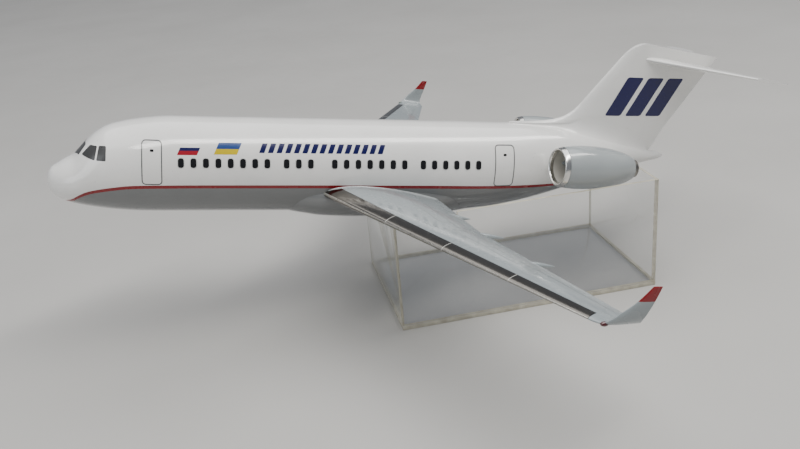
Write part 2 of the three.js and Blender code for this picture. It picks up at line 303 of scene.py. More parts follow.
def paint_edge(bm, line, lift):
    """Cuts a skin's faces along a line in side view, so that two paints can meet there."""
    for (x0, z0), (x1, z1) in zip(line, line[1:]):
        faces = [f for f in bm.faces if x0 <= f.calc_center_median().x <= x1]
        parts = {part for f in faces for part in (f, *f.edges, *f.verts)}
        bmesh.ops.bisect_plane(
            bm, geom=list(parts), dist=1e-5, plane_co=(x0, 0, z0 + lift),
            plane_no=(z0 - z1, 0, x1 - x0),
        )


nose_stations = [(i / 10) ** 2 for i in range(0, 100, 3)]
body_stations = sorted({*nose_stations, *steps(*BARREL, 25), *steps(*TAPER, 70)})
stripe_line = [(x, smooth_row(STRIPE, x)[0]) for x in body_stations]
body = skinned([body_ring(x) for x in body_stations])
for lift in (STRIPE_WIDTH / 2, -STRIPE_WIDTH / 2):
    paint_edge(body, stripe_line, lift)
for face in body.faces:
    spot = face.calc_center_median()
    above = spot.z - straight_row(stripe_line, spot.x)[0]
    face.material_index = (above < STRIPE_WIDTH / 2) + (above < -STRIPE_WIDTH / 2)
body_skin = BVHTree.FromBMesh(body)
body_white = lacquer("gloss_white_lacquer", WHITE, rough=0.17)
belly_grey = lacquer("gloss_grey_lacquer", (0.17, 0.175, 0.175), rough=0.16)
stripe_red = lacquer("gloss_red_stripe", (0.22, 0.004, 0.008), rough=0.25, coat=0.2)
shown(
    body, "fuselage_shell", [body_white, stripe_red, belly_grey], ["fuselage"]
)

# Cabin windows
# Twenty-four black gloss panes a side, each cut from film with a pale rim and stuck on flat.
# They stand in groups of eight, three, seven and six.

WINDOW_GROUPS = [  # first x, how many, pitch
    (109.4, 8, 10),
    (195.5, 3, 10.2),
    (236.3, 7, 10.2),
    (314.2, 6, 10.1),
]
WINDOW_Z = 11.5
WINDOW_SIZE = (6, 8.8)
WINDOW_ROUND = 2.5
WINDOW_RIM = 0.6
FILM, THIN_FILM = 0.12, 0.08
FILM_CUTS = (3, 1.5)
SINK = 0.1
REACH = 300
HANDS = {"left": -1, "right": 1}


def side_view(side):
    """Axes that set x and z of a flat drawing against one side of the aircraft."""
    return Matrix(((1, 0, 0), (0, side, 0), (0, 0, 1)))


def drawn(outline, rounding=0):
    """A flat face in side view. Its corners may be rounded."""
    bm = bmesh.new()
    bm.faces.new([bm.verts.new((x, -SINK, z)) for x, z in outline])
    if rounding:
        bmesh.ops.bevel(
            bm, geom=bm.verts[:], offset=rounding, affect="VERTICES", segments=5, profile=0.5,
            material=-1,
        )
    return bm


def box_outline(x, z, wide, high):
    a, b = wide / 2, high / 2
    return [(x - a, z - b), (x + a, z - b), (x + a, z + b), (x - a, z + b)]


def rimmed(bm, width, hollow=False):
    """Gives a flat face a rim: material 1, or with nothing left inside it if hollow."""
    inner = bm.faces[:]
    made = bmesh.ops.inset_region(
        bm, faces=inner, thickness=width, use_boundary=True, use_even_offset=True
    )
    for face in made["faces"]:
        face.material_index = 1
    if hollow:
        bmesh.ops.delete(bm, geom=inner, context="FACES")
    return bm


def stuck_on(bm, skin, view, high=FILM, cuts=FILM_CUTS):
    """Makes a flat face as thick as film, and wraps it round a skin from one side."""
    for axis, step in zip((0, 2), cuts):
        low, top = (f(v.co[axis] for v in bm.verts) for f in (min, max))
        count = int((top - low) / step)
        for at in steps(low, top, count + 1)[1:-1]:
            normal = [float(axis == i) for i in range(3)]
            bmesh.ops.bisect_plane(
                bm, geom=parts_of(bm), dist=1e-6, plane_co=Vector(normal) * at, plane_no=normal
            )
    top = kind(bmesh.ops.extrude_face_region(bm, geom=bm.faces[:])["geom"], bmesh.types.BMVert)
    bmesh.ops.translate(bm, vec=(0, SINK + high, 0), verts=top)
    away = (view @ Vector((0, 1, 0))).normalized()
    for v in bm.verts:
        base = view @ Vector((v.co.x, 0, v.co.z))
        spot, normal = skin.ray_cast(base + away * REACH, -away)[:2]
        v.co = spot + normal * v.co.y
    return closed(bm)


def gathered(parts):
    """Several meshes as one."""
    whole = bmesh.new()
    for part in parts:
        mesh = bpy.data.meshes.new("part")
        part.to_mesh(mesh)
        part.free()
        whole.from_mesh(mesh)
        bpy.data.meshes.remove(mesh)
    return whole


pane_black = lacquer(
    "black_window_film", (0.006, 0.006, 0.007), rough=0.12, uneven=0.2, flecks=0.2, coat=0.2
)
rim_pale = lacquer("pale_window_rim", (0.62, 0.62, 0.60), rough=0.25)
for hand, side in HANDS.items():
    panes = [
        stuck_on(
            rimmed(drawn(box_outline(x, WINDOW_Z, *WINDOW_SIZE), WINDOW_ROUND), WINDOW_RIM),
            body_skin, side_view(side),
        )
        for first, count, pitch in WINDOW_GROUPS
        for x in [first + pitch * i for i in range(count)]
    ]
    shown(gathered(panes), "cabin_windows_" + hand, [pane_black, rim_pale])

# Windscreen
# Six dark tinted panes with black borders: one on each side of the centre post, and two on each
# side of the nose. They are cut from gloss film and stuck onto the smooth nose, not let into it.

SIDE_PANES = [  # corners as x and z
    [(30.6, 12.5), (41.5, 10.5), (43.4, 20.8), (37.6, 20.3)],
    [(42.9, 10.6), (50.4, 10.8), (50.6, 21.7), (44.9, 21.2)],
]
FRONT_PANE = [(23.2, 1.1), (27.8, 13.6), (33.4, 10.2), (32.2, 1.1)]  # corners as x and y
PANE_BORDER, PANE_ROUND = 0.45, 0.9
SIDE_CUTS, FRONT_CUTS = (1.5, 1.5), (1, 1)
screen_tint = lacquer(
    "tinted_windscreen", (0.045, 0.045, 0.045), rough=0.3, uneven=0.25, flecks=0.1, coat=0.2
)
border_black = lacquer("windscreen_border", (0.03, 0.03, 0.03), rough=0.3, coat=0.2)


def top_view(side):
    """Axes that lay a flat drawing on top of the aircraft: its z runs outwards."""
    return Matrix(((1, 0, 0), (0, 0, side), (0, 1, 0)))


panes = []
for side in HANDS.values():
    for corners in SIDE_PANES:
        pane = rimmed(drawn(corners, PANE_ROUND), PANE_BORDER)
        panes.append(stuck_on(pane, body_skin, side_view(side), cuts=SIDE_CUTS))
    pane = rimmed(drawn(FRONT_PANE, PANE_ROUND), PANE_BORDER)
    panes.append(stuck_on(pane, body_skin, top_view(side), cuts=FRONT_CUTS))
shown(gathered(panes), "windscreen_panes", [screen_tint, border_black])

# Doors
# Each door is only an outline of thin grey line, with rounded corners and a small black handle.
# Two are drawn on each side in cut film, laid over the finished paint.

DOORS = [  # middle x, middle z, width, height
    (86.4, 10.6, 16.4, 35.4),
    (389.5, 10.2, 18.6, 36.2),
]
DOOR_ROUND = 3.4
DOOR_LINE = 0.85
HANDLE_AFT, HANDLE_UP = 0.1, 10
HANDLE_SIZE, HANDLE_ROUND, HANDLE_HIGH = (3, 1.8), 0.8, 0.2
line_grey = lacquer("thin_grey_line", (0.045, 0.045, 0.05), rough=0.45)
for hand, side in HANDS.items():
    marks = []
    for x, z, wide, high in DOORS:
        line = rimmed(drawn(box_outline(x, z, wide, high), DOOR_ROUND), DOOR_LINE, True)
        marks.append(stuck_on(line, body_skin, side_view(side), THIN_FILM))
        grip = box_outline(x + HANDLE_AFT, z + HANDLE_UP, *HANDLE_SIZE)
        handle = drawn(grip, HANDLE_ROUND)
        marks.append(stuck_on(handle, body_skin, side_view(side), HANDLE_HIGH))
    shown(gathered(marks), "door_lines_" + hand, [pane_black, line_grey])

# Colour flashes
# Two slanted flashes of colour bands and a row of navy dashes run above the windows on each side.
# All are cut from gloss film and laid edge to edge on the white lacquer.

NAVY = (0.003, 0.004, 0.065)
FLASHES = [  # low left x, low z, width, height, lean, colours and their shares from the foot up
    (106.2, 17.7, 16, 6.9, 3.4, [((0.30, 0.008, 0.02), 0.46), (NAVY, 0.34), (WHITE, 0.2)]),
    (135.7, 18.4, 18.7, 8.6, 4.2, [((0.56, 0.42, 0.004), 0.48), ((0.003, 0.04, 0.19), 0.52)]),
]
DASH_FIRST, DASH_PITCH, DASH_COUNT = 172.6, 7.2, 15
DASH_FOOT, DASH_WIDE, DASH_HIGH, DASH_LEAN, DASH_ROUND = 19.9, 4.4, 7, 3, 0.5


def leaning(x, z, wide, high, lean):
    return [(x, z), (x + wide, z), (x + wide + lean, z + high), (x + lean, z + high)]


flash_films = {}
for hand, side in HANDS.items():
    for number, (x, z, wide, high, lean, colours) in enumerate(FLASHES, 1):
        bands = []
        for i, (colour, share) in enumerate(colours):
            tall, tilt = high * share, lean * share
            band = drawn(leaning(x, z, wide, tall, tilt))
            stuck_on(band, body_skin, side_view(side), THIN_FILM)
            for face in band.faces:
                face.material_index = i
            bands.append(band)
            x, z = x + tilt, z + tall
        if number not in flash_films:
            flash_films[number] = [
                lacquer(f"flash_film_{number}_{i}", colour, coat=0.2)
                for i, (colour, _) in enumerate(colours, 1)
            ]
        shown(gathered(bands), f"flash_{hand}_{number}", flash_films[number])
navy_film = lacquer("navy_film", NAVY, rough=0.18, coat=0.1)
for hand, side in HANDS.items():
    dashes = []
    for i in range(DASH_COUNT):
        x = DASH_FIRST + DASH_PITCH * i
        dash = drawn(leaning(x, DASH_FOOT, DASH_WIDE, DASH_HIGH, DASH_LEAN), DASH_ROUND)
        dashes.append(stuck_on(dash, body_skin, side_view(side), THIN_FILM))
    shown(gathered(dashes), "navy_dashes_" + hand, [navy_film])

# Belly fairing
# A low boat-shaped shell glued under the cabin where the wings meet it, in the same grey lacquer.
# Its ends and its upper edge are sanded into the fuselage, so no joint shows.

FAIRING = [  # x, half width, centre z, half height
    (196, 24, -20, 20.6),
    (210, 32, -20.6, 21.6),
    (230, 36.8, -21.2, 23.4),
    (262, 37.6, -21.5, 24.2),
    (300, 37.6, -21.5, 24.2),
    (335, 35, -21, 22.8),
    (366, 24, -20, 20.8),
]
FAIRING_SIDES = 96
fairing = skinned([
    oval(x, *smooth_row(FAIRING, x), FAIRING_SIDES)
    for x in steps(FAIRING[0][0], FAIRING[-1][0], 68)
])
fairing_skin = BVHTree.FromBMesh(fairing)
shown(fairing, "belly_fairing_shell", [belly_grey], ["belly_fairing"])

# Wings
# Each wing is a solid cast blade with a thin trailing edge, sprayed a light blue-grey.
# A rounded bead of filler runs along its root, in a paler lacquer that paints a highlight on it,
# and fine lines mark its flaps and its aileron.

WING = [  # y, leading edge x, leading edge z, chord, incidence, thickness
    (18, 218.7, -16, 110.4, 3.1, 0.14),
    (36, 228.4, -15.8, 103, 3.1, 0.14),
    (120, 273.8, -14.5, 68.6, 3.3, 0.125),
    (287, 363.9, -12.1, 31.6, 2.8, 0.11),
]
WING_CAMBER = 0.018
WING_FROM = 30
EDGE = 0.6
SWEEP = (WING[3][1] - WING[1][1]) / (WING[3][0] - WING[1][0])
SLAT_FROM, SLAT_TO = 24, 284
SLAT_WIDTHS = (10.2, 7.2)
SLAT_GAP, SLAT_SHOULDER = 0.3, 0.1
NOSE_STEPS = 10
CHORD_STEPS = 22
WING_MARKS = [  # y and share of the chord at each end of a line
    ((42, 0.74), (120, 0.72)),
    ((120, 0.72), (205, 0.72)),
    ((205, 0.76), (280, 0.76)),
    ((120, 0.72), (120, 0.985)),
    ((205, 0.72), (205, 0.97)),
    ((280, 0.76), (280, 0.97)),
    ((60, 0.60), (112, 0.58)),
    ((60, 0.60), (60, 0.735)),
    ((86, 0.59), (86, 0.728)),
    ((112, 0.58), (112, 0.72)),
    ((130, 0.57), (198, 0.57)),
    ((130, 0.57), (130, 0.715)),
    ((164, 0.57), (164, 0.715)),
    ((198, 0.57), (198, 0.715)),
]
MARK_WIDTH, MARK_HIGH = 0.4, 0.05
WING_CUTS = (8, 14)
TICKS = [(280.6, 104), (292, 110.6), (297, 117.7), (302.8, 124.7), (312.3, 132), (317.7, 139.2)]
TICK_LONG, TICK_WIDE = 3.2, 0.8
ROOT_SEARCH = (26, 42)
BEAD_FROM, BEAD_TO, BEAD_ROUND, BEAD_SIDES = 3, 102, 0.9, 10
BEAD_FADES = [(1, 8), (104, -5)]  # where it would reach nothing, and over what length it fades


def aerofoil_height(share, thickness, camber, edge):
    """Heights of the lower and upper surface over the chord, as shares of it."""
    half = 5 * thickness * (
        0.2969 * sqrt(share) - 0.126 * share - 0.3516 * share ** 2
        + 0.2843 * share ** 3 - 0.1036 * share ** 4
    ) + edge * share / 2
    middle = 4 * camber * share * (1 - share)
    return middle - half, middle + half


def wing_point(y, behind, upper, side):
    """A point of the wing's skin, a distance behind the leading edge."""
    x, z, chord, incidence, thickness = straight_row(WING, y)
    share = min(behind / chord, 1)
    height = aerofoil_height(share, thickness, WING_CAMBER, EDGE / chord)[upper] * chord
    tilt, along = radians(incidence), share * chord
    return Vector((
        x + along * cos(tilt) + height * sin(tilt),
        side * y,
        z + height * cos(tilt) - along * sin(tilt),
    ))


def square_to_edge(y, off, upper, side, turn=1):
    """A point of the skin at a distance square to the leading edge, or straight aft at turn 0."""
    return wing_point(y - off * SWEEP * turn, off * (1 + SWEEP ** 2), upper, side)


def slat_width(y):
    return between(*SLAT_WIDTHS, (y - SLAT_FROM) / (SLAT_TO - SLAT_FROM))


def nose_offs(width):
    return [width * (1 - cos(pi / 2 * i / NOSE_STEPS)) for i in range(NOSE_STEPS, 0, -1)]


def wing_ring(y, side, slatted, turn=1):
    """One ring from the trailing edge over the top, round the nose or its cove, and back below."""
    width = slat_width(y) + SLAT_GAP
    y_line, start = y - width * SWEEP * turn, width * (1 + SWEEP ** 2)
    chord = straight_row(WING, y_line)[2]
    behind = [
        start + (chord - start) * (1 + cos(pi * i / CHORD_STEPS)) / 2 for i in range(CHORD_STEPS)
    ]
    over = [wing_point(y_line, far, 1, side) for far in behind]
    under = [wing_point(y_line, far, 0, side) for far in behind]
    if slatted:
        top, low = (square_to_edge(y, width, upper, side) for upper in (1, 0))
        nose = [top.lerp(low, share) for share in steps(0, 1, 2 * NOSE_STEPS)]
    else:
        offs = nose_offs(width)
        nose = [square_to_edge(y, off, 1, side, turn) for off in [*offs, 0]]
        nose += [square_to_edge(y, off, 0, side, turn) for off in reversed(offs)]
    return over + nose + under[::-1]


def thin_line(start, end, width):
    (x0, z0), (x1, z1) = start, end
    off = Vector((z0 - z1, x1 - x0)).normalized() * width / 2
    return drawn([
        (x0 + off.x, z0 + off.y), (x1 + off.x, z1 + off.y),
        (x1 - off.x, z1 - off.y), (x0 - off.x, z0 - off.y),
    ])


def plan_point(y, share):
    x, _, chord, _, _ = straight_row(WING, y)
    return x + share * chord, y


def root_spot(behind, side):
    """Where the wing's upper skin comes out of the body and its fairing."""
    for y in steps(*ROOT_SEARCH, 64):
        spot = wing_point(y, behind, 1, side)
        out = Vector((0, side, 0))
        if not any(skin.ray_cast(spot, out)[0] for skin in (body_skin, fairing_skin)):
            return spot
    return spot


wing_grey = lacquer("light_blue_grey_lacquer", (0.27, 0.30, 0.31), rough=0.24, uneven=0.05)
# The bead's pale lacquer is a painted highlight along the wing root.
bead_painted_highlight = lacquer("root_bead_painted_highlight", (0.50, 0.53, 0.53))
mark_grey = lacquer("faint_wing_line", (0.16, 0.175, 0.18), rough=0.4)
root_y, kink_y, tip_y = (row[0] for row in WING[1:])
for hand, side in HANDS.items():
    stations = steps(WING_FROM, root_y, 2)[:-1] + steps(root_y, kink_y, 14)
    stations += steps(kink_y, SLAT_TO, 28)[1:]
    rings = [wing_ring(y, side, True) for y in stations]
    rings.append(wing_ring(SLAT_TO + SLAT_SHOULDER, side, False))
    rings.append(wing_ring(tip_y, side, False, 0))
    wing = skinned(rings)
    wing_skin = BVHTree.FromBMesh(wing)
    shown(wing, "wing_blade_" + hand, [wing_grey], ["wing_" + hand])
    lines = [
        stuck_on(
            thin_line(plan_point(*start), plan_point(*end), MARK_WIDTH), wing_skin,
            top_view(side), MARK_HIGH, WING_CUTS,
        )
        for start, end in WING_MARKS
    ]
    for x, y in TICKS:
        tick = thin_line((x, y), (x + TICK_LONG * SWEEP, y + TICK_LONG), TICK_WIDE)
        lines.append(stuck_on(tick, wing_skin, top_view(side), THIN_FILM))
    shown(gathered(lines), "wing_lines_" + hand, [mark_grey])
    bead = []
    for behind in steps(BEAD_FROM, BEAD_TO, 66):
        spot = root_spot(behind, side)
        size = BEAD_ROUND * min(1, *[(behind - end) / length for end, length in BEAD_FADES])
        bead.append(oval(spot.x, size, spot.z, size, BEAD_SIDES, spot.y))
    shown(skinned(bead), "wing_root_bead_" + hand, [bead_painted_highlight])

# Slats
# Four dark strips of polished metal foil on each leading edge, with a light seam at each joint.
# The foil is burnished round the nose of the wing, and a band of bright bare metal along the top
# of its front edge is a painted highlight.

SLAT_JOINTS = [107.5, 165, 223.5]
SLAT_JOINT = 0.48
ROLLED_ALONG = radians(28)
SEAM_PLAY = 0.02
# The band behind the leading edge, in millimetres, that is painted bright as a highlight.
HIGHLIGHT_FROM, HIGHLIGHT_TO = 0.05, 0.6


def slat_ring(y, side):
    offs = nose_offs(slat_width(y))
    upper = [square_to_edge(y, off, 1, side) for off in [*offs, 0]]
    return upper + [square_to_edge(y, off, 0, side) for off in reversed(offs)]


def bare_metal(name, dull, bright, rough):
    paint = Paint(name, Metallic=1.0)
    paint.feed(
        Base_Color=paint.clouded(dull, bright, scale=90),
        Roughness=paint.uneven(rough - 0.05, rough + 0.05, scale=300, detail=3),
    )
    return paint.material


foil = Paint("dark_metal_foil", Metallic=1.0, Coat_Weight=0.5, Coat_Roughness=0.08)
foil.feed(
    Base_Color=foil.clouded(
        (0.15, 0.138, 0.12, 1), (0.19, 0.176, 0.156, 1), scale=14, stretch=(1, 0.2, 1),
        turn=(0, 0, ROLLED_ALONG),
    ),
    Roughness=foil.uneven(0.16, 0.2, scale=120, detail=3),
)
foil.bumpy(foil.noise(scale=500), strength=0.03, distance=0.0001)
# Bright bare metal for the painted highlight along the slats' front edge.
painted_highlight_metal = bare_metal("foil_edge_painted_highlight", (0.62, 0.59, 0.52, 1), (0.78, 0.75, 0.67, 1), 0.3)
seam_light = lacquer("light_joint_seam", (0.55, 0.54, 0.50), rough=0.3)
for hand, side in HANDS.items():
    ends = [WING_FROM, *SLAT_JOINTS, SLAT_TO]
    half = SLAT_JOINT / 2
    for number, (start, end) in enumerate(zip(ends, ends[1:]), 1):
        slat = skinned([slat_ring(y, side) for y in steps(start + half, end - half, 12)])
        for face in slat.faces:
            spot = face.calc_center_median()
            x, z = straight_row(WING, abs(spot.y))[:2]
            off = (spot.x - x) / sqrt(1 + SWEEP ** 2)
            # Top faces in that band take the bright metal: a painted highlight along the nose.
            face.material_index = int(HIGHLIGHT_FROM < off < HIGHLIGHT_TO and spot.z > z)
        shown(
            slat, f"slat_foil_{hand}_{number}", [foil.material, painted_highlight_metal],
            [f"slat_{hand}_{number}"],
        )
    reach = half - SEAM_PLAY
    seams = [
        skinned([slat_ring(y, side) for y in (joint - reach, joint + reach)])
        for joint in SLAT_JOINTS
    ]
    shown(gathered(seams), "slat_seams_" + hand, [seam_light])

# Winglets
# The tip curls up into a swept blade that is cast with the wing, and its top is masked off in red.
# A small oval lamp lens, red to port and green to starboard, is glued on at the bend.

WINGLET = [  # stage, x, y, z, chord, incidence, cant, thickness, camber
    (0, 363.9, 287, -12.1, 31.6, 2.8, 0, 0.11, 0.018),
    (1, 367.4, 292, -11.3, 26.6, 1.2, 20, 0.11, 0.01),
    (2, 371.4, 295.2, -8.2, 22.4, 0, 48, 0.11, 0),
    (3, 377.2, 296.7, -2.6, 18.4, 0, 72, 0.11, 0),
    (4, 387.6, 297.4, 6.4, 11.2, 0, 84, 0.12, 0),
    (5, 395.4, 297.8, 15.8, 6.2, 0, 86, 0.13, 0),
]
CAP_FOOT = (380, 6.1)
CAP_SLOPE = (0.03, 0, 1)
LAMP_AT = (369.4, 292.8, -11.5)
LAMP_SIZE = (2.9, 1.8, 1.7)
LAMP_RED, LAMP_GREEN = (0.06, 0.001, 0.004), (0.002, 0.05, 0.012)


def blade_ring(x, y, z, chord, incidence, cant, thickness, camber, side, count=18):
    """A leaning aerofoil section as a ring, from its trailing edge over the top."""
    tilt, lean = radians(incidence), radians(cant)

    def point(share, upper):
        height = aerofoil_height(share, thickness, camber, EDGE / chord)[upper] * chord
        along = share * chord
        rise = height * cos(tilt) - along * sin(tilt)
        aft = along * cos(tilt) + height * sin(tilt)
        return x + aft, side * (y - rise * sin(lean)), z + rise * cos(lean)

    shares = [(1 + cos(pi * i / count)) / 2 for i in range(count + 1)]
    return [point(share, 1) for share in shares] + [point(s, 0) for s in shares[-2::-1]]


cap_red = lacquer("gloss_red_cap", (0.22, 0.002, 0.006), rough=0.25, coat=0.2)
for hand, side in HANDS.items():
    stages = steps(0, WINGLET[-1][0], 50)
    winglet = skinned([blade_ring(*smooth_row(WINGLET, stage), side) for stage in stages])
    foot = Vector((CAP_FOOT[0], 0, CAP_FOOT[1]))
    bmesh.ops.bisect_plane(
        winglet, geom=parts_of(winglet), dist=1e-5, plane_co=foot, plane_no=CAP_SLOPE
    )
    for face in winglet.faces:
        above = (face.calc_center_median() - foot).dot(Vector(CAP_SLOPE))
        face.material_index = int(above > 0)
    shown(winglet, "winglet_blade_" + hand, [wing_grey, cap_red], ["winglet_" + hand])
    lens = bmesh.new()
    bmesh.ops.create_uvsphere(lens, u_segments=28, v_segments=16, radius=1)
    bmesh.ops.scale(lens, vec=LAMP_SIZE, verts=lens.verts)
    bmesh.ops.translate(lens, vec=(LAMP_AT[0], side * LAMP_AT[1], LAMP_AT[2]), verts=lens.verts)
    tint, slot = (LAMP_RED, "lamp_red") if side < 0 else (LAMP_GREEN, "lamp_green")
    glass = lacquer("lamp_lens_" + hand, tint, rough=0.06, uneven=0.1, flecks=0, coat=1)
    shown(lens, "tip_lamp_lens_" + hand, [glass], ["wingtip_lamp_" + hand])

# Flap-track fairings
# Three slim canoe shapes under each wing, blunt ahead and pointed aft, in the wing's blue-grey.
# Each is turned, then glued halfway into the wing's underside with its tip drooping a little.

CANOES = [  # y, tip x, tip z, length, radius
    (82, 347, -21.8, 40, 2.9),
    (124, 363, -22.2, 38, 2.6),
    (188, 380, -19.2, 33, 2.3),
]
CANOE_DROOP, CANOE_SIDES = radians(6), 28
CANOE_PROFILE = [
    (-1, 0), (-0.92, 0.5), (-0.75, 0.85), (-0.5, 1), (-0.25, 0.7), (-0.02, 0.12), (0, 0),
]


def turned(profile, sides):
    """A body of revolution about the x axis, spun from its half outline."""
    bm = bmesh.new()
    verts = [bm.verts.new((along, 0, radius)) for along, radius in profile]
    edges = [bm.edges.new(pair) for pair in zip(verts, verts[1:])]
    bmesh.ops.spin(
        bm, geom=verts + edges, cent=(0, 0, 0), axis=(1, 0, 0), dvec=(0, 0, 0),
        angle=2 * pi, steps=sides, use_merge=True,
    )
    return closed(bm)


def placed(bm, turn, at):
    bmesh.ops.rotate(bm, cent=(0, 0, 0), matrix=turn, verts=bm.verts)
    bmesh.ops.translate(bm, vec=at, verts=bm.verts)
    return bm


for hand, side in HANDS.items():
    for number, (y, x, z, length, radius) in enumerate(CANOES, 1):
        outline = [
            (share * length, smooth_row(CANOE_PROFILE, share)[0] * radius)
            for share in steps(-1, 0, 36)
        ]
        droop = Matrix.Rotation(CANOE_DROOP, 3, "Y")
        shown(
            placed(turned(outline, CANOE_SIDES), droop, (x, side * y, z)),
            f"flap_track_canoe_{hand}_{number}", [wing_grey],
            [f"flap_fairing_{hand}_{number}"],
        )

# Fin
# A flat blade with a long fillet at its foot and a rounded top, cast solid and pinned to the tail.
# Three navy bars lean with it on each face.

FIN = [  # stage, z, leading edge x, chord, thickness
    (0, 12, 400, 145, 0.05),
    (1, 42.4, 402, 158.4, 0.05),
    (2, 43.4, 420, 141, 0.058),
    (3, 44.6, 437, 124.7, 0.068),
    (4, 47.5, 451.4, 111.9, 0.084),
    (5, 52.4, 460.7, 105.9, 0.092),
    (6, 60.3, 469.2, 102.4, 0.095),
    (7, 74, 479.4, 100.6, 0.09),
    (8, 126, 519.4, 92.8, 0.085),
]
FIN_CORE = [  # z, leading edge x, chord, thickness
    (12, 431.7, 113.3, 0.09),
    (42.4, 455.1, 105.3, 0.0925),
    (74, 479.4, 100.6, 0.09),
    (126, 519.4, 92.8, 0.085),
]
FIN_CORNER, FIN_CONTROL, FIN_CROWN, FIN_AFT = (500, 101), (515, 120.2), (530, 118.3), (602, 108.4)
FIN_TOP_FROM = 80
FIN_BARS = [(493.5, 16), (514.5, 16), (535.5, 16)]  # foot x, width
FIN_BAR_Z, FIN_BAR_HIGH, FIN_BAR_LEAN = 51.2, 36.5, 18
FIN_BAR_ROUND, FIN_BAR_CUTS = 2, (6, 6)
FOOT_FROM, FOOT_TO = 405.3, 544.2
FOOT_UP, FOOT_OUT = 14, 9
FOOT_SHARE = 0.75
FOOT_FADE, FOOT_LEAST = 60, 0.5
FOOT_START, FOOT_BURIED = 0.3, 0.8
OFF_CENTRE = 0.01


def fin_half(along, chord, thickness):
    """Half the width of a level section, a distance behind its leading edge."""
    share = min(max(along / chord, 0), 1)
    return aerofoil_height(share, thickness, 0, EDGE / chord)[1] * chord


def level_ring(z, x, chord, thickness, count=40):
    """A level section of the blade: its thick core, or the thin fillet that runs ahead of it."""
    core_x, core_chord, core_thickness = straight_row(FIN_CORE, z)
    alongs = [chord * (1 + cos(pi * i / count)) / 2 for i in range(count + 1)]
    port = [
        (
            x + along,
            max(
                fin_half(along, chord, thickness),
                fin_half(x + along - core_x, core_chord, core_thickness),
            ),
            z,
        )
        for along in alongs
    ]
    return port + [(px, -py, pz) for px, py, pz in port[-2::-1]]


def fin_top_line():
    curve = [
        [
            a * (1 - t) ** 2 + 2 * b * t * (1 - t) + c * t ** 2
            for a, b, c in zip(FIN_CORNER, FIN_CONTROL, FIN_CROWN)
        ]
        for t in steps(0, 1, 12)
    ]
    return [*curve, FIN_AFT]


fin = skinned([level_ring(*smooth_row(FIN, stage)) for stage in steps(0, FIN[-1][0], 80)])
for (x0, z0), (x1, z1) in zip(fin_top_line(), fin_top_line()[1:]):
    high = [f for f in fin.faces if f.calc_center_median().z > FIN_TOP_FROM]
    bmesh.ops.bisect_plane(
        fin, geom=list({part for f in high for part in (f, *f.edges, *f.verts)}), dist=1e-5,
        plane_co=(x0, 0, z0), plane_no=(z0 - z1, 0, x1 - x0), clear_outer=True,
    )
    closed(fin)
fin_skin = BVHTree.FromBMesh(fin)
shown(fin, "fin_blade", [body_white], ["fin"])
for hand, side in HANDS.items():
    bars = [
        stuck_on(
            drawn(leaning(x, FIN_BAR_Z, wide, FIN_BAR_HIGH, FIN_BAR_LEAN), FIN_BAR_ROUND),
            fin_skin, side_view(side), THIN_FILM, FIN_BAR_CUTS,
        )
        for x, wide in FIN_BARS
    ]
    shown(gathered(bars), "fin_bars_" + hand, [navy_film])


def foot_ring(x, side):
    """A hollow curve from the fin's side to the body's back, closed through the corner below."""

    def fin_side(z):
        return fin_skin.ray_cast((x, side * REACH, z), (0, -side, 0))[0]

    def back(y):
        return body_skin.ray_cast((x, y, REACH), (0, 0, -1))[0]

    ground = back(OFF_CENTRE).z
    crest = fin_skin.ray_cast((x, OFF_CENTRE, REACH), (0, 0, -1))[0].z
    room = FOOT_SHARE * (crest - ground) / FOOT_UP
    size = min(1, room, (FOOT_TO - x) / FOOT_FADE + FOOT_LEAST)
    corner = back(fin_side(ground + FOOT_START).y)
    top, out = fin_side(ground + FOOT_UP * size), back(corner.y + side * FOOT_OUT * size)
    curve = [
        top * (1 - t) ** 2 + corner * 2 * t * (1 - t) + out * t ** 2 for t in steps(0, 1, 12)
    ]
    return [*curve, corner - Vector((0, side * FOOT_BURIED, FOOT_BURIED))]


for hand, side in HANDS.items():
    foot = skinned([foot_ring(x, side) for x in steps(FOOT_FROM, FOOT_TO, 68)])
    shown(foot, "fin_foot_fillet_" + hand, [body_white])

# Tailplane
# Two thin tapered halves set into slots near the top of the fin, a little nose up.
# They are cast solid, brought to a thin trailing edge, and sprayed in the fuselage's white.

TAILPLANE = [  # y, leading edge x, leading edge z, chord, incidence, thickness
    (0.5, 523, 104.8, 68.4, 6, 0.10),
    (80, 592, 104.2, 32, 6, 0.075),
]
for hand, side in HANDS.items():
    rings = []
    for y in steps(TAILPLANE[0][0], TAILPLANE[1][0], 20):
        x, z, chord, incidence, thickness = straight_row(TAILPLANE, y)
        rings.append(blade_ring(x, y, z, chord, incidence, 0, thickness, 0, side, 20))
    shown(
        skinned(rings), "tailplane_half_" + hand, [body_white],
        ["tailplane_" + hand],
    )

# Engines
# A turned nacelle on each side of the tail, with a polished metal lip pressed onto its mouth.
# A satin grey fan is set deep in a satin grey duct, and the nozzle is dull bare metal.
# A short aerofoil pylon, glued into the tail and the nacelle, holds it.

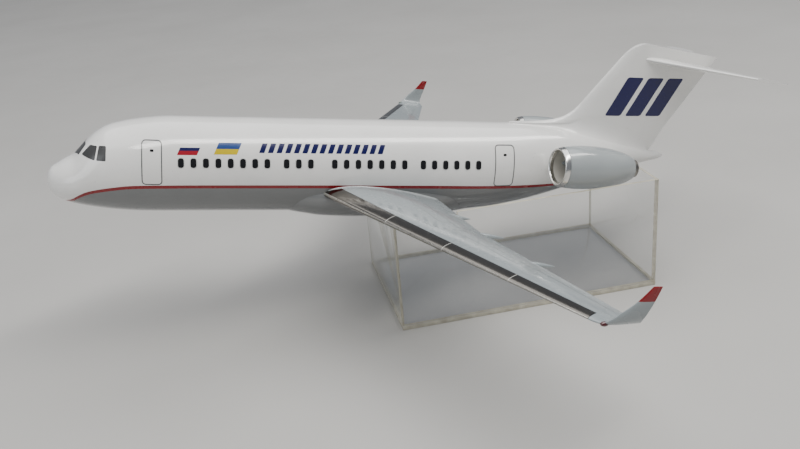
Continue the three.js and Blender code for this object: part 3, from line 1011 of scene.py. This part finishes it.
ENGINE_AT = Vector((430.8, 54, 16.2))
ENGINE_RISE, ENGINE_TOE = radians(-2.3), radians(5)
LIP = [(4.2, 14.2), (1.2, 14.6), (0.2, 15.4), (0, 16), (0.5, 16.6), (2, 17.3), (4.2, 17.9)]
COWL = [
    (4.5, 18), (12, 18.9), (21, 19.4), (30, 19.3), (40, 18.7), (50, 17.7), (58, 16.2),
    (66, 14.1), (74, 10.7),
]
DUCT_IN, DUCT_OUT = [(26, 0), (26, 14.1), (4.5, 14.2)], [(74, 9.5), (62, 9.3), (62, 0)]
DUCT_DEEP, DUCT_ROUND = 30, 14.2
HUB = [
    (25.7, 0), (25.7, 13.7), (25.1, 13.7), (25, 4.6), (22, 4.4), (17.5, 3.2), (14.5, 1.4),
    (13.8, 0),
]
BLADES, BLADE_ALONG, BLADE_THICK = 22, 22.9, 0.35
BLADE_DEEP, BLADE_WIDE = 3.24, 2.16
BLADE_REACH, BLADE_WIDTHS, BLADE_TWISTS = (4.1, 13.6), (0.8, 1.3), (28, 62)  # foot and tip
NOZZLE = [
    (62.3, 0), (62.3, 8.9), (79, 7.9), (79, 7.3), (66, 8.2), (66, 4.8), (75, 3.9), (82, 1.5),
    (83.4, 0),
]
PYLON = [  # y, leading edge x, leading edge z, chord, incidence, thickness
    (12, 440, 14.6, 58, 0, 0.12),
    (52, 443, 15.2, 50, 0, 0.12),
]
PYLON_TO = 42
ENGINE_SIDES, INNER_SIDES = 96, 72
nacelle_grey = lacquer("light_grey_lacquer", (0.33, 0.355, 0.36), rough=0.18)
lip_chrome = bare_metal("polished_lip_metal", (0.66, 0.65, 0.62, 1), (0.76, 0.75, 0.72, 1), 0.2)
duct_grey = lacquer(
    "satin_duct_grey", (0.50, 0.48, 0.43), rough=0.4, uneven=0.06, flecks=0, coat=0.1
)
fan_grey = lacquer(
    "satin_fan_grey", (0.36, 0.345, 0.31), rough=0.36, uneven=0.1, flecks=0, coat=0.1
)
nozzle_metal = bare_metal("dull_nozzle_metal", (0.22, 0.21, 0.20, 1), (0.30, 0.29, 0.27, 1), 0.34)


def fan_blades():
    """One twisted blade, copied round the hub."""
    bm = bmesh.new()
    bmesh.ops.create_grid(bm, x_segments=5, y_segments=8, size=0.5)
    for v in bm.verts:
        share = v.co.y + 0.5
        twist = radians(between(*BLADE_TWISTS, share))
        width = v.co.x * between(*BLADE_WIDTHS, share)
        v.co = (
            BLADE_ALONG + BLADE_DEEP * width * cos(twist),
            BLADE_WIDE * width * sin(twist),
            between(*BLADE_REACH, share),
        )
    bmesh.ops.recalc_face_normals(bm, faces=bm.faces)
    bmesh.ops.solidify(bm, geom=bm.faces[:], thickness=BLADE_THICK)
    bmesh.ops.spin(
        bm, geom=parts_of(bm), cent=(0, 0, 0), axis=(1, 0, 0), dvec=(0, 0, 0),
        angle=2 * pi * (BLADES - 1) / BLADES, steps=BLADES - 1, use_duplicate=True,
    )
    bmesh.ops.recalc_face_normals(bm, faces=bm.faces)
    return bm


lip_table = [(i, *spot) for i, spot in enumerate(LIP)]
lip = [smooth_row(lip_table, i) for i in steps(0, len(LIP) - 1, 30)]
for hand, side in HANDS.items():
    turn = Matrix.Rotation(-side * ENGINE_TOE, 3, "Z") @ Matrix.Rotation(-ENGINE_RISE, 3, "Y")
    at = (ENGINE_AT.x, side * ENGINE_AT.y, ENGINE_AT.z)
    cowl = [(x, smooth_row(COWL, x)[0]) for x in steps(COWL[0][0], COWL[-1][0], 46)]
    nacelle = turned(DUCT_IN + cowl + DUCT_OUT, ENGINE_SIDES)
    for face in nacelle.faces:
        spot = face.calc_center_median()
        face.material_index = int(spot.x < DUCT_DEEP and spot.yz.length < DUCT_ROUND)
    fan = gathered([turned(HUB, INNER_SIDES), fan_blades()])
    intake = turned(lip + lip[:1], ENGINE_SIDES)
    nozzle = turned(NOZZLE, INNER_SIDES)
    pieces = [
        (nacelle, "nacelle_cowl_", [nacelle_grey, duct_grey], "nacelle_grey", "nacelle_"),
        (intake, "intake_lip_", [lip_chrome], "polished_lip", "intake_ring_"),
        (fan, "fan_wheel_", [fan_grey], "dark_metal", "fan_"),
        (nozzle, "nozzle_pipe_", [nozzle_metal], "dark_metal", "nozzle_"),
    ]
    for bm, name, finishes, slot, node in pieces:
        shown(placed(bm, turn, at), name + hand, finishes, [node + hand])
    rings = []
    for y in steps(PYLON[0][0], PYLON_TO, 8):
        x, z, chord, incidence, thickness = straight_row(PYLON, y)
        rings.append(blade_ring(x, y, z, chord, incidence, 0, thickness, 0, side))
    shown(
        skinned(rings), "pylon_stub_" + hand, [nacelle_grey], ["pylon_" + hand]
    )

# Cradle
# Five sheets of clear acrylic with polished edges, glued into an open box that the body lies in.
# The two end sheets are sawn to the shape of the body's underside.

LONG, WIDE, WALL, BASE = 242, 147, 2.5, 4
FORE_TOP, AFT_TOP, STEP_X = 102.3, 104.8, -65
GLUE = 0.3
POLISH = 0.35
UNLIMITED = 1000
SHEEN, HAZE, LEAST_SEEN = 0.9, 0.01, 0.035
IN_PART = Matrix.Scale(MM, 4)


def sheet(outline, axis, start, thick):
    """A flat sheet from its outline, square to one axis, with polished and eased edges."""
    bm = bmesh.new()
    axes = [i for i in range(3) if i != axis]
    corners = []
    for pair in outline:
        co = Vector((0, 0, 0))
        co[axis] = start
        co[axes[0]], co[axes[1]] = pair
        corners.append(bm.verts.new(co))
    face = bm.faces.new(corners)
    made = bmesh.ops.extrude_face_region(bm, geom=[face])["geom"]
    off = Vector((0, 0, 0))
    off[axis] = thick
    bmesh.ops.translate(bm, vec=off, verts=kind(made, bmesh.types.BMVert))
    bmesh.ops.recalc_face_normals(bm, faces=bm.faces)
    flat = [f for f in bm.faces if abs(f.normal[axis]) > 0.9]
    for f in bm.faces:
        f.material_index = int(f not in flat)
    rim = [e for f in flat for e in f.edges]
    bmesh.ops.bevel(
        bm, geom=rim, offset=POLISH, affect="EDGES", segments=2, profile=0.5, material=1
    )
    return closed(bm)


def under_body(x, y):
    """How high a sheet can rise at a point of the part's floor before it meets the aircraft."""
    away = ONTO_CRADLE.inverted()
    start, end = away @ Vector((x * MM, y * MM, 0)), away @ Vector((x * MM, y * MM, 1))
    heading = (end - start).normalized()
    hits = [skin.ray_cast(start, heading)[3] for skin in (body_skin, fairing_skin)]
    return min([hit for hit in hits if hit is not None], default=UNLIMITED)


def end_outline(x, top):
    half = WIDE / 2 - WALL - GLUE
    across = steps(-half, half, 140)
    tops = [
        (y, min(top, under_body(x, y) - GLUE, under_body(x + WALL, y) - GLUE)) for y in across
    ]
    return [(half, BASE + GLUE), *reversed(tops), (-half, BASE + GLUE)]


# The sheet is a mirror that is nearly all see-through, and shows more the flatter it is seen.
clear = Paint("clear_acrylic_sheet", Metallic=1.0)
grazing = clear.node("LayerWeight", {}, {"Blend": 0.5}, 1)
fifth = grazing * grazing * grazing * grazing * grazing
haze = clear.uneven(0, 1, scale=30, detail=3)
clear.feed(
    Base_Color=clear.mixed(haze, (0.86, 0.89, 0.88, 1), (0.92, 0.94, 0.93, 1)),
    Roughness=clear.uneven(0.02, 0.06, scale=200, detail=4),
    Alpha=fifth * SHEEN + haze * HAZE + LEAST_SEEN,
)
# The polished edges are painted a pale, mostly opaque tan: a painted highlight for the light that
# clear acrylic edges catch.
edge = Paint("acrylic_edge_painted_highlight", IOR=1.49, Coat_Weight=0.6, Coat_Roughness=0.05)
edge.feed(
    Base_Color=edge.clouded(
        (0.46, 0.42, 0.31, 1), (0.60, 0.56, 0.44, 1), scale=120, detail=3
    ),
    Roughness=edge.uneven(0.12, 0.25, scale=400),
    Alpha=edge.uneven(0.7, 0.9, scale=120, detail=3),
)
wall_foot = BASE + GLUE
wall_side = [
    (-LONG / 2, wall_foot), (LONG / 2, wall_foot), (LONG / 2, AFT_TOP), (STEP_X, AFT_TOP),
    (STEP_X, FORE_TOP), (-LONG / 2, FORE_TOP),
]
base_plan = [
    (-LONG / 2, -WIDE / 2), (LONG / 2, -WIDE / 2), (LONG / 2, WIDE / 2), (-LONG / 2, WIDE / 2),
]
fore_x, aft_x = -LONG / 2, LONG / 2 - WALL
sheets = {
    "base": sheet(base_plan, 2, 0, BASE),
    "wall_left": sheet(wall_side, 1, -WIDE / 2, WALL),
    "wall_right": sheet(wall_side, 1, WIDE / 2 - WALL, WALL),
    "wall_fore": sheet(end_outline(fore_x, FORE_TOP), 0, fore_x, WALL),
    "wall_aft": sheet(end_outline(aft_x, AFT_TOP), 0, aft_x, WALL),
}
for name, bm in sheets.items():
    shown(
        bm, "acrylic_" + name, [clear.material, edge.material],
        ["stand_" + name], IN_PART,
    )

# Room
# A plain pale floor under soft lights: one wide and overhead, a ceiling strip, and a window.
# The camera stands where the photograph was taken. Its place and its lens were solved from the
# cabin windows, the body and the wing tips, in the photograph's own 800 by 449 pixels.

FLOOR_REACH = 6
SKY, SKY_STRENGTH = (0.85, 0.9, 1, 1), 0.26
LIGHTS = [  # name, place, what it is aimed at, size, watts, tint
    ("overhead", (0.3, 0.6, 4.5), (0.3, 0.6, 0), (6, 6), 230, (1, 1, 1)),
    ("ceiling", (0.4, -0.5, 1.7), (0.1, 0, 0.1), (2.6, 0.3), 30, (1, 0.98, 0.94)),
    ("window", (-1.7, -0.9, 0.9), (0, 0, 0.15), (0.9, 1.2), 8, (0.92, 0.96, 1)),
]
FOCAL, ACROSS, DOWN = 865.54, 800, 449
MIDDLE = (398.53, 224.28)
EYE_AT = (-0.23884, -0.73357, 0.38373)
EYE_RIGHT = Vector((0.97319, -0.21513, -0.08145))
EYE_DOWN = Vector((-0.15711, -0.36298, -0.91846))
EYE_AHEAD = Vector((0.16802, 0.90662, -0.38704))
floor_bm = bmesh.new()
bmesh.ops.create_grid(floor_bm, x_segments=1, y_segments=1, size=FLOOR_REACH)
floor_mesh = bpy.data.meshes.new("floor")
floor_bm.to_mesh(floor_mesh)
floor_bm.free()
floor = bpy.data.objects.new("floor", floor_mesh)
bpy.context.scene.collection.objects.link(floor)
pale = Paint("pale_floor")
pale.feed(
    Base_Color=pale.clouded((0.43, 0.42, 0.40, 1), (0.46, 0.45, 0.43, 1), scale=4),
    Roughness=pale.uneven(0.55, 0.65, scale=30),
)
floor_mesh.materials.append(pale.material)

world = bpy.data.worlds.new("soft_room")
bpy.context.scene.world = world
world.use_nodes = True
background = world.node_tree.nodes["Background"].inputs
background["Color"].default_value = SKY
background["Strength"].default_value = SKY_STRENGTH
for name, at, aim, size, watts, tint in LIGHTS:
    light = bpy.data.lights.new(name, "AREA")
    light.shape = "RECTANGLE"
    light.size, light.size_y = size
    light.energy = watts
    light.color = tint
    lamp = bpy.data.objects.new(name, light)
    lamp.location = at
    lamp.rotation_mode = "QUATERNION"
    lamp.rotation_quaternion = (Vector(aim) - Vector(at)).to_track_quat("-Z", "Y")
    bpy.context.scene.collection.objects.link(lamp)

eye = bpy.data.cameras.new("eye")
eye.sensor_width = 36
eye.lens = FOCAL * eye.sensor_width / ACROSS
eye.clip_start = 0.01
eye.shift_x = (ACROSS / 2 - MIDDLE[0]) / ACROSS
eye.shift_y = (MIDDLE[1] - DOWN / 2) / ACROSS
camera = bpy.data.objects.new("camera", eye)
axes = Matrix((EYE_RIGHT, -EYE_DOWN, -EYE_AHEAD)).transposed()
camera.matrix_world = Matrix.Translation(EYE_AT) @ axes.to_4x4()
bpy.context.scene.collection.objects.link(camera)
bpy.context.scene.camera = camera
